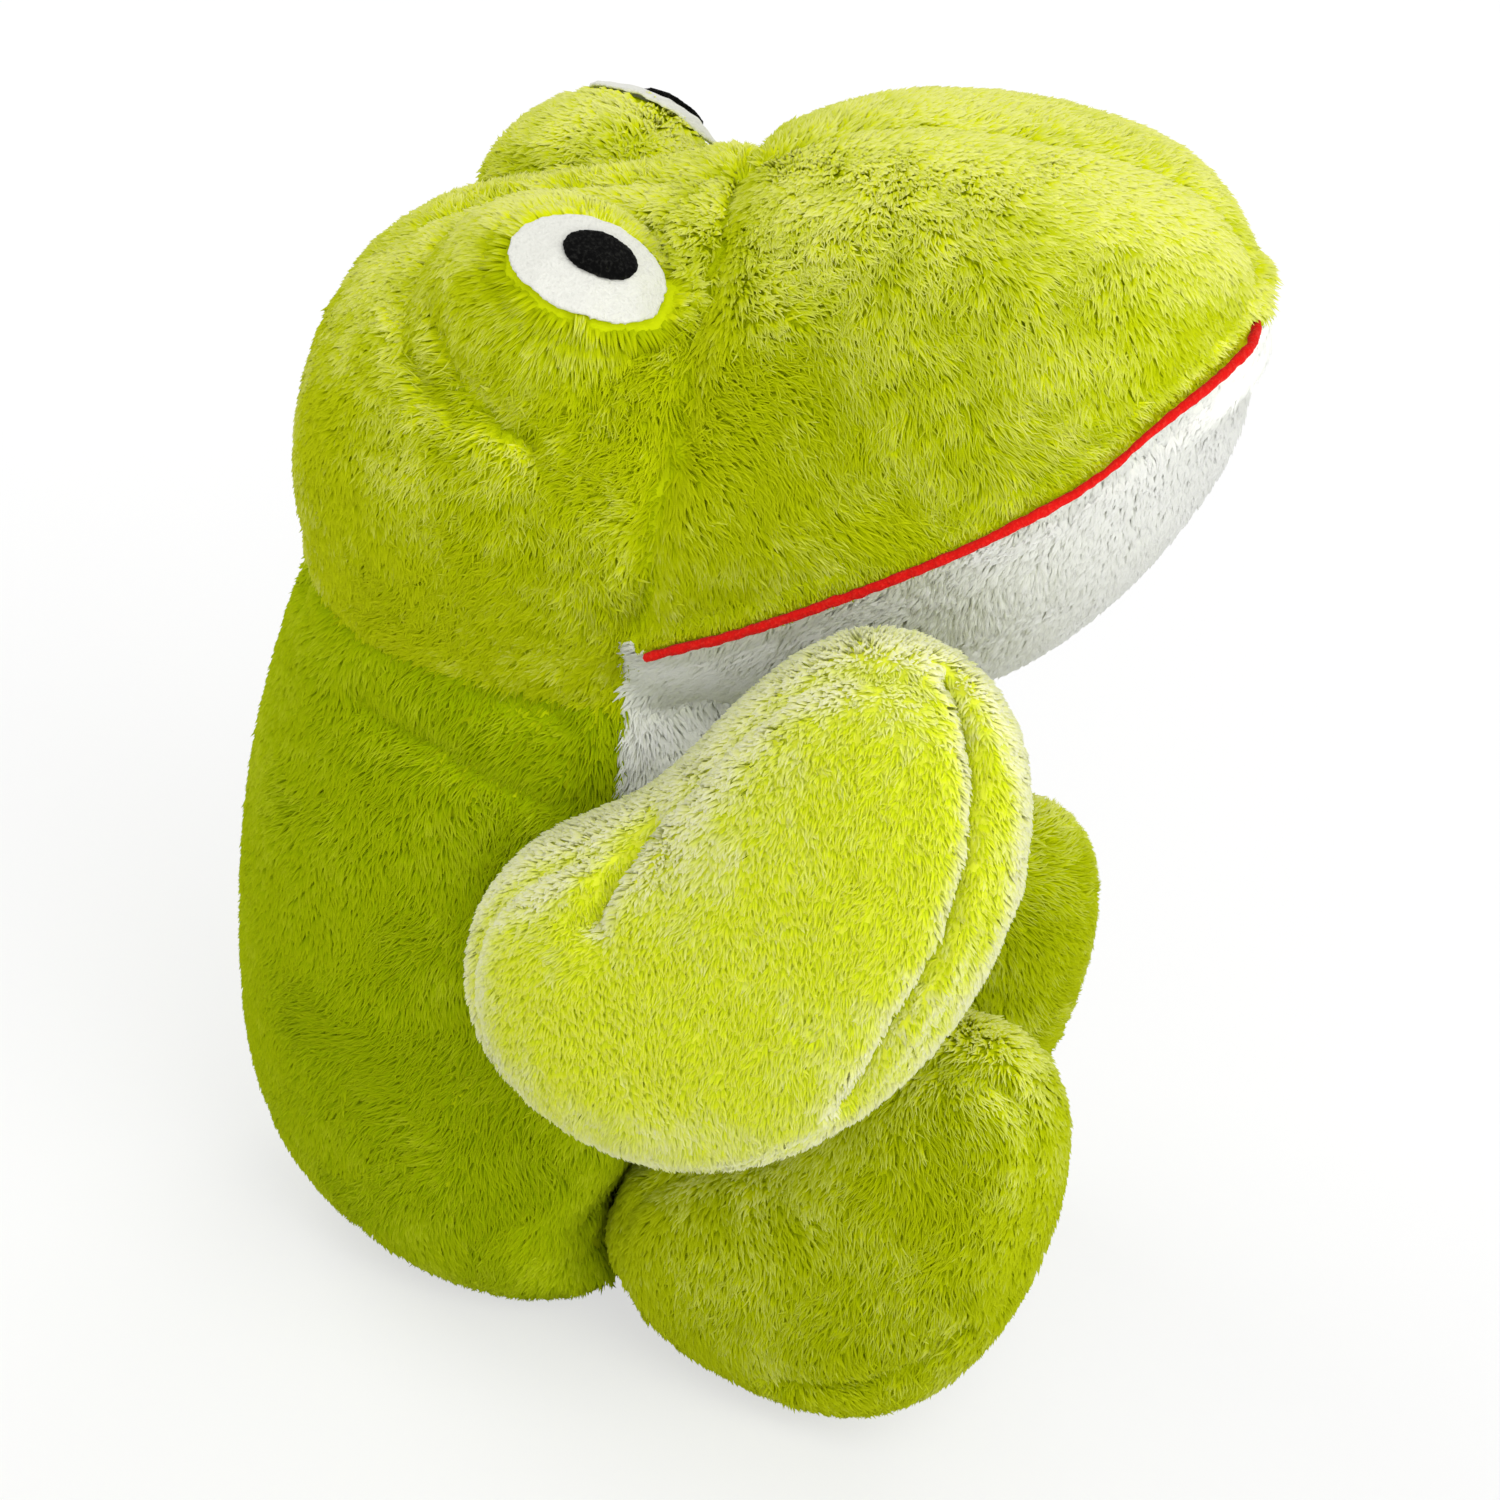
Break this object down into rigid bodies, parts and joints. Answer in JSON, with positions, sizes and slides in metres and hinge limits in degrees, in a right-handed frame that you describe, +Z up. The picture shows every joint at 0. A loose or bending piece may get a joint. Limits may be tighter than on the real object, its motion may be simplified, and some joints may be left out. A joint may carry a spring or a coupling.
{
  "type": "plush frog",
  "caption": "Seated plush frog of long-pile green fabric with white chin and belly, felt eyes and a red mouth cord; its arms, legs and head flex on their seams.",
  "frame": {"origin": "middle of the bounding box, at the plane that the seat and the feet rest on", "axes": "the frog faces -Y, its left is +X, +Z is up"},
  "size_m": [0.2304, 0.1984, 0.2894],
  "materials": {
    "green_plush": "long-pile plush, yellow green, combed into loose locks",
    "arm_plush": "long-pile plush, yellow green, short dense curls with light tips",
    "white_plush": "long-pile plush, off-white",
    "white_felt": "flat felt, matt",
    "black_felt": "flat felt, matt",
    "red_cord": "round twisted cord, matt",
    "stuffing": "loose polyester fibre"
  },
  "bodies": {
    "torso": {"back_panel_left": "green_plush", "back_panel_right": "green_plush", "belly_panel": "white_plush", "seat_panel": "green_plush", "body_stuffing": "stuffing"},
    "head": {"cheek_panel_left": "green_plush", "cheek_panel_right": "green_plush", "muzzle_panel_left": "green_plush", "muzzle_panel_right": "green_plush", "chin_panel": "white_plush", "mouth_cord": "red_cord", "eye_dome_left": "green_plush", "eye_dome_right": "green_plush", "eye_white_left": "white_felt", "eye_white_right": "white_felt", "pupil_left": "black_felt", "pupil_right": "black_felt", "head_stuffing": "stuffing"},
    "arm_left": {"arm_outer_panel_left": "arm_plush", "arm_inner_panel_left": "arm_plush", "arm_stuffing_left": "stuffing"},
    "arm_right": {"arm_outer_panel_right": "arm_plush", "arm_inner_panel_right": "arm_plush", "arm_stuffing_right": "stuffing"},
    "leg_left": {"leg_outer_panel_left": "green_plush", "leg_inner_panel_left": "green_plush", "leg_stuffing_left": "stuffing"},
    "leg_right": {"leg_outer_panel_right": "green_plush", "leg_inner_panel_right": "green_plush", "leg_stuffing_right": "stuffing"}
  },
  "joints": [
    {"name": "head_nod", "type": "hinge", "parent": "torso", "child": "head", "pos_m": [0, 0.0439, 0.163], "axis": [1, 0, 0], "range_deg": [-7, 7], "stiffness_Nm_per_rad": 12},
    {"name": "arm_swing_left", "type": "hinge", "parent": "torso", "child": "arm_left", "pos_m": [0.08142, 0.01291, 0.13007], "axis": [0.9781, 0.2079, 0], "range_deg": [-15, 20], "stiffness_Nm_per_rad": 1.7},
    {"name": "leg_lift_left", "type": "hinge", "parent": "torso", "child": "leg_left", "pos_m": [0.03894, -0.0264, 0.03407], "axis": [-0.9781, -0.2079, 0], "range_deg": [-10, 15], "stiffness_Nm_per_rad": 1.7},
    {"name": "arm_swing_right", "type": "hinge", "parent": "torso", "child": "arm_right", "pos_m": [-0.08142, 0.01291, 0.13007], "axis": [0.9781, -0.2079, 0], "range_deg": [-15, 20], "stiffness_Nm_per_rad": 1.7},
    {"name": "leg_lift_right", "type": "hinge", "parent": "torso", "child": "leg_right", "pos_m": [-0.03894, -0.0264, 0.03407], "axis": [-0.9781, 0.2079, 0], "range_deg": [-10, 15], "stiffness_Nm_per_rad": 1.7}
  ]
}
